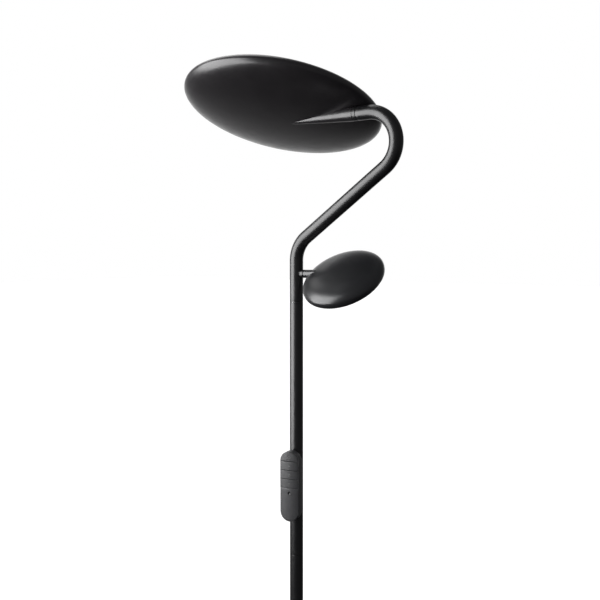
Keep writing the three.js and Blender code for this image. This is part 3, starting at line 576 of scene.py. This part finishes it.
# ---- pebble-shaped lamp bodies ----
class Pebble:
    """A shallow superellipse bowl about Z, closed side up, whose rim is rim_d below its widest plane."""

    def __init__(self, radius, depth, power, wall, rim_d):
        self.r, self.depth, self.power, self.wall, self.rim_d = radius, depth, power, wall, rim_d

    def radius_at(self, height):
        return self.r * (1 - min(abs(height) / self.depth, 1) ** self.power) ** (1 / self.power)

    def curve(self, r, depth, lowest, steps):
        start = -math.asin((lowest / depth) ** (self.power / 2))
        points = []
        for i in range(steps + 1):
            angle = start + (math.pi / 2 - start) * i / steps
            c, s = max(math.cos(angle), 0.0), math.sin(angle)
            across = 0.0 if i == steps else c ** (2 / self.power)
            points.append((r * across, depth * math.copysign(abs(s) ** (2 / self.power), s)))
        return points

    def shell_profile(self, steps=64):
        rim_r = self.radius_at(self.rim_d)
        outside = self.curve(self.r, self.depth, self.rim_d - 0.25, steps)
        floor = self.rim_d - 4
        inside = self.curve(self.r - self.wall, self.depth - self.wall, floor, 32)
        ledge = rounded([(inside[0][0], -floor, 0), (rim_r - 6.4, -floor, 0.4),
                         (rim_r - 6.4, -self.rim_d + 1.9, 0.4), (rim_r - 2.4, -self.rim_d + 1.9, 0.2),
                         (rim_r - 2.4, -self.rim_d, 0.5),
                         (rim_r - 0.15, -self.rim_d, 0.5), (outside[0][0], outside[0][1], 0)],
                        steps=5, closed=False)
        return inside[::-1] + ledge[1:-1] + outside

    def shell(self, name, segments):
        return turned(name, self.shell_profile(), segments, sharp_deg=38)

    def diffuser(self, name, crown, segments):
        edge = self.radius_at(self.rim_d) - 2.4 - GAP
        seat = -self.rim_d + 1.6
        lip = -self.rim_d - 1.1

        def dome(radius, start, steps):
            shares = [(i + 1) / steps for i in range(steps)]
            return [(radius * share, start - crown * (1 - share ** 2)) for share in shares]

        below = dome(edge - 0.8, lip, 28)
        above = dome(edge - 4.4, seat, 20)[::-1]
        rim = rounded([below[-1], (edge, lip, 0.7), (edge, seat, 0.25), above[0]], steps=6, closed=False)
        profile = [(0.0, lip - crown), *below[:-1], *rim, *above[1:], (0.0, seat - crown)]
        return turned(name, profile, segments, sharp_deg=45)


def pivot(body_joint, tilt_deg):
    """Placement of a part drawn with its hinge along X at the origin, as the lamp is set."""
    return shift(z=joint_place(body_joint).z) @ Matrix.Rotation(math.radians(tilt_deg), 4, "X")


HEAD_TILT = -18.0
READING_TILT = 36.94
HEAD = Pebble(radius=165.0, depth=30.0, power=2.1, wall=2.2, rim_d=9.9)
HEAD_CENTRE_X, HEAD_RISE = -33.65, 25.2
READING = Pebble(radius=67.8, depth=19.5, power=2.35, wall=2.0, rim_d=11.0)
READING_CENTRE_X, READING_RISE = 89.0, -8.54


def make_head():
    place = pivot("head_tilt", HEAD_TILT)
    flip = shift(HEAD_CENTRE_X, 0, HEAD_RISE) @ Matrix.Rotation(math.pi, 4, "X")
    shell = HEAD.shell("uplighter_bowl", 256)
    moved(shell, place @ flip)
    set_up(shell, "head", materials["black_head"], "black_head", "head_shell")

    taper = [(0, -16, 0), (2.6, -14, 1.5), (4.4, -9, 4), (5.8, 2, 6), (7.4, 30, 10), (8.8, 60, 10),
             (10.1, 88, 10), (10.8, 103, 5), (11, 112.4, 0.5),
             (6, 112.4, 0.2), (HEAD_BORE_R, 112.0, 0), (HEAD_BORE_R, 100, 0), (0, 100, 0)]
    neck = turned("uplighter_neck", rounded(taper, steps=6, closed=False), 96)
    moved(neck, place @ ALONG_X)
    set_up(neck, "head", materials["black_head"], "black_head")

    cover = HEAD.diffuser("uplighter_diffuser", 7, 256)
    moved(cover, place @ flip)
    set_up(cover, "head", materials["diffuser"], "diffuser", "head_diffuser")


def make_reading_lamp():
    place = pivot("reading_tilt", READING_TILT)
    centre = shift(READING_CENTRE_X, 0, READING_RISE)
    shell = READING.shell("reading_bowl", 192)
    moved(shell, place @ centre)
    set_up(shell, "reading_head", materials["black_reading"], "black_head", "reading_shell")
    x0 = 17.5
    taper = [(0, 24, 0), (READING_BORE_R, 24, 0), (READING_BORE_R, x0, 0.2), (READING_STUB_R, x0, 0.5),
             (6.8, 28, 4), (7.2, 40, 4), (6.9, 46, 3), (5.6, 51, 2), (3, 55, 1.5), (0, 57, 0)]
    neck = turned("reading_neck", rounded(taper, steps=6, closed=False), 96)
    moved(neck, place @ ALONG_X)
    set_up(neck, "reading_head", materials["black_reading"], "black_head")
    cover = READING.diffuser("reading_lens", 3, 192)
    moved(cover, place @ centre)
    set_up(cover, "reading_head", materials["diffuser"], "diffuser", "reading_diffuser")


# ---- remote control ----
REMOTE_TURN = 13.0
REMOTE_W, REMOTE_H = 33.4, 115.6
REMOTE_FRONT, REMOTE_BACK, REMOTE_SEAM = 30.2, 16.0, 25.1  # depths, from the pole's axis
REMOTE_CROWN = 69.0  # radius of the face, seen from its end
KEY_EDGES = [41.3, 26.6, 12.1, -2.4]  # lower end of each key, from the top
KEY_SPLIT = 0.35  # half the gap between two keys
KEY_FLOOR, KEY_UNDER = 26.8, 27.6  # depths too: the floor under the keys, and their undersides
KEY_STEM_R, KEY_STEM_END = 2.0, 26.2
KEY_CENTRES = [48.2, 33.9, 19.4, 4.9]
CRADLE_W, CRADLE_H, CRADLE_FRONT, CRADLE_REAR = 26.0, 106.0, 15.3, 8.2
MAGNET_SEAT_R, SCREW_CUP_R, CRADLE_SCREW_Z, BEYOND_CRADLE = 8.3, 3.8, 38, 20
MODE_Z, MODE_R = -10.6, 2.6
MARK_HEIGHT, MARK_LINE, MARK_ARM = 0.05, 0.5, 1.7


def crown_depth(x):
    return REMOTE_FRONT - (REMOTE_CROWN - math.sqrt(REMOTE_CROWN ** 2 - x * x))


def stadium_outline(width, height, z_low=None, z_high=None, arc_steps=30, side_steps=10, corner=0.0):
    """Outline of a stadium between two heights, anticlockwise from the lower right, as (x, z) points."""
    r = width / 2
    straight = height / 2 - r
    z_low = -height / 2 if z_low is None else z_low
    z_high = height / 2 if z_high is None else z_high

    def half_width(z):
        over = abs(z) - straight
        return r if over <= 0 else math.sqrt(max(r * r - over * over, 0.0))

    levels = set()
    for k in range(side_steps + 1):
        levels.add(z_low + (z_high - z_low) * k / side_steps)
    for k in range(arc_steps + 1):
        rise = straight + r * math.sin(math.pi / 2 * k / arc_steps)
        levels.update(z for z in (rise, -rise) if z_low < z < z_high)
    levels = sorted({min(max(z, z_low), z_high) for z in levels})
    right = [(half_width(z), z) for z in levels]
    left = [(-x, z) for x, z in reversed(right)]
    across = [k / 12 for k in range(-11, 12)]
    top = [(-right[-1][0] * k, right[-1][1]) for k in across]
    bottom = [(right[0][0] * k, right[0][1]) for k in across]
    points = right + top + left + bottom
    cleaned = [p for i, p in enumerate(points)
               if math.hypot(p[0] - points[i - 1][0], p[1] - points[i - 1][1]) > 1e-4]
    if corner <= 0:
        return cleaned
    ends = {(round(right[0][0], 5), round(right[0][1], 5)), (round(right[-1][0], 5), round(right[-1][1], 5)),
            (round(left[0][0], 5), round(left[0][1], 5)), (round(left[-1][0], 5), round(left[-1][1], 5))}
    marked = [(x, z, corner if (round(x, 5), round(z, 5)) in ends and abs(x) > 2 else 0) for x, z in cleaned]
    return rounded(marked, steps=5)


def inset(outline, amount):
    """The convex outline moved inwards by the amount, point by point along its normals."""
    count = len(outline)
    out = []
    for i, (x, z) in enumerate(outline):
        ax, az = outline[i - 1]
        bx, bz = outline[(i + 1) % count]
        e0 = Vector((x - ax, z - az)).normalized()
        e1 = Vector((bx - x, bz - z)).normalized()
        n0, n1 = Vector((-e0.y, e0.x)), Vector((-e1.y, e1.x))
        normal = (n0 + n1).normalized()
        scale = amount / max(normal.dot(n0), 0.4)
        out.append((x + normal.x * scale, z + normal.y * scale))
    return out


def shrunk(outline, factor):
    cx = sum(p[0] for p in outline) / len(outline)
    cz = (min(p[1] for p in outline) + max(p[1] for p in outline)) / 2
    return [(cx + (x - cx) * factor, cz + (z - cz) * factor) for x, z in outline]


def pillow(name, outline, back, front, edge, back_edge=0.25, inner=(0.86, 0.7, 0.52, 0.34, 0.16)):
    """A slab with rounded edges: a flat back, and a front whose depth is front(x)."""
    steps = 6
    way = 1 if front(0) > back else -1
    rings = []
    for k in range(4):
        turn = math.pi / 2 * k / 3
        ring = inset(outline, back_edge * (1 - math.sin(turn)))
        rings.append([(x, -(back + way * back_edge * (1 - math.cos(turn))), z) for x, z in ring])
    for k in range(steps + 1):
        turn = math.pi / 2 * k / steps
        ring = inset(outline, edge * (1 - math.cos(turn)))
        rings.append([(x, -(front(x) - way * edge * (1 - math.sin(turn))), z) for x, z in ring])
    top = inset(outline, edge)
    for factor in inner:
        rings.append([(x, -front(x), z) for x, z in shrunk(top, factor)])
    return lofted(name, rings, CREASE_DEG)


def flat(depth):
    return lambda _x: depth


def make_bezel(z_low):
    """The thin rim round the keys, open at the bottom, with rounded edges."""
    rim_w, drop = 0.8, 0.12
    bow_z = 40  # about where the rim starts to bend over
    outer = stadium_outline(REMOTE_W, REMOTE_H, z_low=z_low)
    outer.sort(key=lambda p: math.atan2(p[0], p[1] - z_low + 1e-6), reverse=True)
    outer = [p for p in outer if not (abs(p[1] - z_low) < 1e-6 and abs(p[0]) < REMOTE_W / 2 - 0.01)]
    rings = []
    for i, (x, z) in enumerate(outer):
        ax, az = outer[max(i - 1, 0)]
        bx, bz = outer[min(i + 1, len(outer) - 1)]
        run = Vector((bx - ax, bz - az)).normalized()
        inward = Vector((-run.y, run.x))
        if inward.dot(Vector((-x, -max(z - bow_z, 0)))) < 0:
            inward = -inward
        top = crown_depth(x) - drop
        section = rounded([(0, REMOTE_SEAM + GAP, 0.25), (0, top, 0.45), (rim_w, top, 0.15),
                           (rim_w, KEY_FLOOR, 0), (rim_w + 0.6, KEY_FLOOR, 0),
                           (rim_w + 0.6, REMOTE_SEAM + GAP, 0)], steps=4)
        rings.append([(x + inward.x * d, -depth, z + inward.y * d) for d, depth in section])
    return lofted("bezel", rings, CREASE_DEG)


def make_remote_case(place):
    z_low = KEY_EDGES[-1]
    lower_outline = stadium_outline(REMOTE_W, REMOTE_H, z_high=z_low)
    lower = pillow("lower", lower_outline, REMOTE_SEAM + GAP, crown_depth, 0.9)
    hole = punch("hole", MODE_R + 0.25, REMOTE_SEAM, REMOTE_FRONT + 1, 64)
    carved(lower, [moved(hole, shift(z=MODE_Z) @ ALONG_MINUS_Y)])
    floor_outline = stadium_outline(REMOTE_W - 2.6, REMOTE_H - 2.6, z_low - 1, arc_steps=20, side_steps=8)
    floor = pillow("floor", floor_outline, REMOTE_SEAM + GAP + 0.1, flat(KEY_FLOOR), 0.1, 0.05)
    case = joined("remote_face", [lower, make_bezel(z_low), floor])
    moved(case, place)
    set_up(case, "remote", materials["remote_shell"], "remote_shell", "remote_front_shell")

    back_plate = pillow("remote_back", stadium_outline(REMOTE_W, REMOTE_H), REMOTE_SEAM,
                        flat(REMOTE_BACK), 0.7, 0.35)
    moved(back_plate, place)
    set_up(back_plate, "remote", materials["remote_shell"], "remote_shell", "remote_back_shell")


def make_keys(place):
    bodies = ["power_key", "brighter_key", "tone_key", "dimmer_key"]
    nodes = ["key_power", "key_brighter", "key_tone", "key_dimmer"]
    marks = [power_mark, brighter_mark, tone_mark, dimmer_mark]
    for index, (body, node) in enumerate(zip(bodies, nodes)):
        top = REMOTE_H / 2 - 1.1 if index == 0 else KEY_EDGES[index - 1] - KEY_SPLIT
        bottom = KEY_EDGES[index] + KEY_SPLIT
        outline_top = None if index == 0 else top
        outline = stadium_outline(REMOTE_W - 2.2, REMOTE_H - 2.2, bottom, outline_top, side_steps=8,
                                  corner=0.9)
        cap = pillow(f"{node}_cap", outline, KEY_UNDER, crown_depth, 0.45)
        stem_profile = [(0, KEY_STEM_END, 0), (KEY_STEM_R, KEY_STEM_END, 0.3),
                        (KEY_STEM_R, KEY_UNDER + 0.2, 0), (0, KEY_UNDER + 0.2, 0)]
        stem = turned(f"{node}_stem", rounded(stem_profile, steps=3, closed=False), 32)
        centre = KEY_CENTRES[index]
        moved(stem, shift(z=centre) @ ALONG_MINUS_Y)
        whole = joined(f"{node}_piece", [cap, stem])
        moved(whole, place)
        set_up(whole, body, materials["key_face"], "key_face", node)
        marks[index](body, place, (top + bottom) / 2 if index else KEY_CENTRES[0])

    dish = [(0, KEY_STEM_END, 0), (MODE_R, KEY_STEM_END, 0.2), (MODE_R, REMOTE_FRONT - 0.2, 0.35),
            (MODE_R * 0.55, REMOTE_FRONT - 0.55, 0.9), (0, REMOTE_FRONT - 0.62, 0)]
    cap = turned("mode_cap", rounded(dish, steps=6, closed=False), 64)
    moved(cap, place @ shift(z=MODE_Z) @ ALONG_MINUS_Y)
    set_up(cap, "mode_key", materials["mode_face"], "mode_face", "key_mode")


def make_cradle(place):
    beyond_ends = 80
    cradle = pillow("cradle_blank", stadium_outline(CRADLE_W, CRADLE_H), CRADLE_REAR,
                    flat(CRADLE_FRONT), 0.6, 0.8)
    bore = punch("bore", TUBE_R + GAP, -beyond_ends, beyond_ends, 128)
    seat = moved(punch("seat", MAGNET_SEAT_R, CRADLE_FRONT - 3, BEYOND_CRADLE, 64), ALONG_MINUS_Y)
    cups = [moved(punch(f"cup_{k}", SCREW_CUP_R, CRADLE_FRONT - 2.4, BEYOND_CRADLE, 48),
                  shift(z=z) @ ALONG_MINUS_Y)
            for k, z in enumerate((CRADLE_SCREW_Z, -CRADLE_SCREW_Z))]
    carved(cradle, [bore, seat, *cups])
    cradle.name = "cradle"
    moved(cradle, place)
    set_up(cradle, "root", materials["remote_shell"], "remote_shell", "remote_cradle")


def make_remote():
    place = shift(z=middle("remote_back_shell").z) @ Matrix.Rotation(math.radians(REMOTE_TURN), 4, "Z")
    make_remote_case(place)
    make_keys(place)
    make_cradle(place)


def punch(name, radius, start, end, segments):
    """A plain round cutting tool along Z."""
    return turned(name, [(0, start), (radius, start), (radius, end), (0, end)], segments)


def carved(piece, tools):
    """Cuts the tools out of the piece, for good."""
    for tool in tools:
        cut = piece.modifiers.new("cut", "BOOLEAN")
        cut.operation = "DIFFERENCE"
        cut.solver = "EXACT"
        cut.object = tool
    graph = bpy.context.evaluated_depsgraph_get()
    mesh = bpy.data.meshes.new_from_object(piece.evaluated_get(graph))
    piece.modifiers.clear()
    piece.data = mesh
    mesh.shade_smooth()
    mesh.set_sharp_from_angle(angle=math.radians(CREASE_DEG))
    for tool in tools:
        bpy.data.objects.remove(tool)


def stroke(name, points, width, closed=False):
    """A thin raised line on the crowned key face, along (x, z) points."""
    rings = []
    count = len(points)
    for i, (x, z) in enumerate(points):
        ax, az = points[i - 1] if (closed or i) else points[i]
        bx, bz = points[(i + 1) % count] if (closed or i < count - 1) else points[i]
        run = Vector((bx - ax, bz - az)).normalized()
        side = Vector((-run.y, run.x)) * width / 2
        right, left = (x + side.x, z + side.y), (x - side.x, z - side.y)
        rings.append([(right[0], -(crown_depth(right[0]) - MARK_HEIGHT), right[1]),
                      (right[0], -(crown_depth(right[0]) + MARK_HEIGHT), right[1]),
                      (left[0], -(crown_depth(left[0]) + MARK_HEIGHT), left[1]),
                      (left[0], -(crown_depth(left[0]) - MARK_HEIGHT), left[1])])
    if closed:
        rings.append(rings[0])
    return lofted(name, rings, CREASE_DEG, closed_ends=not closed)


def circle_points(cx, cz, r, a0, a1, steps):
    return [(cx + r * math.cos(math.radians(a0 + (a1 - a0) * k / steps)),
             cz + r * math.sin(math.radians(a0 + (a1 - a0) * k / steps))) for k in range(steps + 1)]


def place_mark(name, strokes, body, place):
    piece = joined(name, strokes)
    moved(piece, place)
    set_up(piece, body, materials["mark"], "key_face")


def power_mark(body, place, z):
    ring = stroke("ring", circle_points(0, z, 2.2, 120, 420, 40), MARK_LINE)
    bar = stroke("bar", [(0, z + 0.4), (0, z + 3.0)], MARK_LINE)
    place_mark("power_mark", [ring, bar], body, place)


def brighter_mark(body, place, z):
    across = stroke("across", [(-MARK_ARM, z), (MARK_ARM, z)], MARK_LINE)
    above = stroke("above", [(0, z + MARK_LINE / 2), (0, z + MARK_ARM)], MARK_LINE)
    below = stroke("below", [(0, z - MARK_LINE / 2), (0, z - MARK_ARM)], MARK_LINE)
    place_mark("brighter_mark", [across, above, below], body, place)


def tone_mark(body, place, z):
    ring = stroke("ring", circle_points(0, z, 1.6, 0, 357, 40), 0.45, closed=True)
    rays = [stroke(f"ray_{k}", [(2.3 * math.cos(a), z + 2.3 * math.sin(a)),
                                (3.0 * math.cos(a), z + 3.0 * math.sin(a))], 0.4)
            for k, a in enumerate(math.radians(45 * i) for i in range(8))]
    place_mark("tone_mark", [ring, *rays], body, place)


def dimmer_mark(body, place, z):
    place_mark("dimmer_mark", [stroke("across", [(-MARK_ARM, z), (MARK_ARM, z)], MARK_LINE)], body, place)


# ---- CAD nodes that stay in view or inside ----
NODE_LOOK = {
    "base_weight": "iron", "base_screw_1": "steel", "base_screw_2": "steel", "base_screw_3": "steel",
    "pole_flange": "steel", "joiner_low": "steel", "joiner_mid": "steel", "joiner_top": "steel",
    "head_end_plug": "steel", "head_plug_screw": "steel", "head_wave_washer": "steel",
    "reading_friction_washer": "washer_plastic", "reading_wave_washer": "steel", "cradle_magnet": "steel",
    "cradle_screw_upper": "steel", "cradle_screw_lower": "steel", "main_harness": "cable",
    "head_pivot_shaft": "steel", "head_pivot_nut": "steel", "head_shaft_screw": "steel",
    "head_heat_sink": "aluminium", "head_led_board": "led_board", "head_driver": "circuit_board",
    "head_sink_screw_1": "steel", "head_sink_screw_2": "steel", "head_sink_screw_3": "steel",
    "head_lead": "cable", "reading_pivot_shaft": "steel", "reading_pivot_nut": "steel",
    "reading_shaft_screw": "steel", "reading_heat_sink": "aluminium", "reading_led_board": "led_board",
    "reading_sink_screw_1": "steel", "reading_sink_screw_2": "steel", "reading_lead": "cable",
    "remote_keeper_plate": "steel", "remote_circuit_board": "circuit_board", "remote_battery": "coin_cell",
}


def dress_nodes():
    for node, look in NODE_LOOK.items():
        piece = frame["nodes"][node]
        piece.data.materials.clear()
        piece.data.materials.append(materials[look])


# ---- studio ----
def make_floor():
    """A pale floor whose glow grows with distance, so that it fades into the white backdrop."""
    half = 30000.0
    drop = -0.2
    verts = [(-half, -half, drop), (half, -half, drop), (half, half, drop), (-half, half, drop)]
    floor = mesh_object("floor", verts, [(0, 1, 2, 3)])
    look = Look("pale_floor", Roughness=0.7, Specular_IOR_Level=0.2)
    look.colours(look.noise(400, 2.0), (0.82, 0.82, 0.82), (0.85, 0.85, 0.85))
    distance = look.node("ShaderNodeVectorMath", operation="LENGTH")
    look.link(look.coords, distance.inputs[0])
    glow = look.ranged(distance.outputs["Value"], *FLOOR_LEVELS, *FLOOR_SPREAD)
    look.shader.inputs["Emission Color"].default_value = (1, 1, 1, 1)
    look.link(glow, look.shader.inputs["Emission Strength"])
    floor.data.materials.append(look.material)
    floor.visible_diffuse = False
    floor.visible_glossy = False


def make_world():
    """White to the camera. To everything else it glows mostly behind the lamp, and less low down."""
    world = bpy.data.worlds.new("studio")
    bpy.context.scene.world = world
    world.use_nodes = True
    tree = world.node_tree
    background = tree.nodes["Background"]
    background.inputs["Color"].default_value = (1, 1, 1, 1)

    def node(kind, source, socket, **values):
        made = tree.nodes.new(kind)
        for key, value in values.items():
            setattr(made, key, value)
        tree.links.new(source, made.inputs[socket])
        return made

    direction = tree.nodes.new("ShaderNodeTexCoord").outputs["Generated"]
    towards_back = node("ShaderNodeVectorMath", direction, 0, operation="DOT_PRODUCT")
    towards_back.inputs[1].default_value = TOWARDS_BACKDROP
    backdrop = node("ShaderNodeMapRange", towards_back.outputs["Value"], "Value",
                    interpolation_type="SMOOTHSTEP")
    backdrop.inputs["From Min"].default_value, backdrop.inputs["From Max"].default_value = BACKDROP_SPREAD
    backdrop.inputs["To Min"].default_value, backdrop.inputs["To Max"].default_value = BACKDROP_LEVELS
    split = node("ShaderNodeSeparateXYZ", direction, "Vector")
    height = node("ShaderNodeMapRange", split.outputs["Z"], "Value")
    height.inputs["From Min"].default_value = -1.0
    by_height = node("ShaderNodeValToRGB", height.outputs["Result"], "Fac")
    ramp = by_height.color_ramp
    while len(ramp.elements) < len(GLOW_BY_HEIGHT):
        ramp.elements.new(0.5)
    for element, (place, level) in zip(ramp.elements, GLOW_BY_HEIGHT):
        element.position = place
        element.color = (level, level, level, 1)
    glow = node("ShaderNodeMath", backdrop.outputs["Result"], 0, operation="MULTIPLY")
    tree.links.new(by_height.outputs["Color"], glow.inputs[1])
    path = tree.nodes.new("ShaderNodeLightPath")
    strength = node("ShaderNodeMix", path.outputs["Is Camera Ray"], "Factor")
    strength.inputs["B"].default_value = 1.0
    tree.links.new(glow.outputs["Value"], strength.inputs["A"])
    tree.links.new(strength.outputs["Result"], background.inputs["Strength"])


def softbox(name, place, target, width, height, power, gloss=True, diffuse=True):
    """A rectangular light aimed at a point. It may be kept out of reflections or off matt surfaces."""
    data = bpy.data.lights.new(name, "AREA")
    data.shape = "RECTANGLE"
    data.size, data.size_y = width, height
    data.energy = power
    lamp = bpy.data.objects.new(name, data)
    bpy.context.scene.collection.objects.link(lamp)
    lamp.location = place
    lamp.visible_camera = False
    lamp.visible_glossy = gloss
    lamp.visible_diffuse = diffuse
    aim = Vector(target) - Vector(place)
    lamp.rotation_euler = aim.to_track_quat("-Z", "Y").to_euler()


def make_lights():
    """One large softbox, strong in reflections and mild on matt surfaces, and a weak one overhead."""
    large = (SOFTBOX_PLACE, SOFTBOX_TARGET, SOFTBOX_W, SOFTBOX_H)
    softbox("key_softbox", *large, GLOSS_POWER, diffuse=False)
    softbox("key_softbox_matt", *large, MATT_POWER, gloss=False)
    softbox("overhead_softbox", OVERHEAD_PLACE, OVERHEAD_TARGET, OVERHEAD_SIDE, OVERHEAD_SIDE,
            OVERHEAD_POWER)


make_base()
make_pole()
make_arm()
make_head()
make_reading_lamp()
make_remote()
dress_nodes()
make_floor()
make_world()
make_lights()
bpy.context.scene.view_settings.view_transform = "Standard"

bpy.context.view_layer.update()
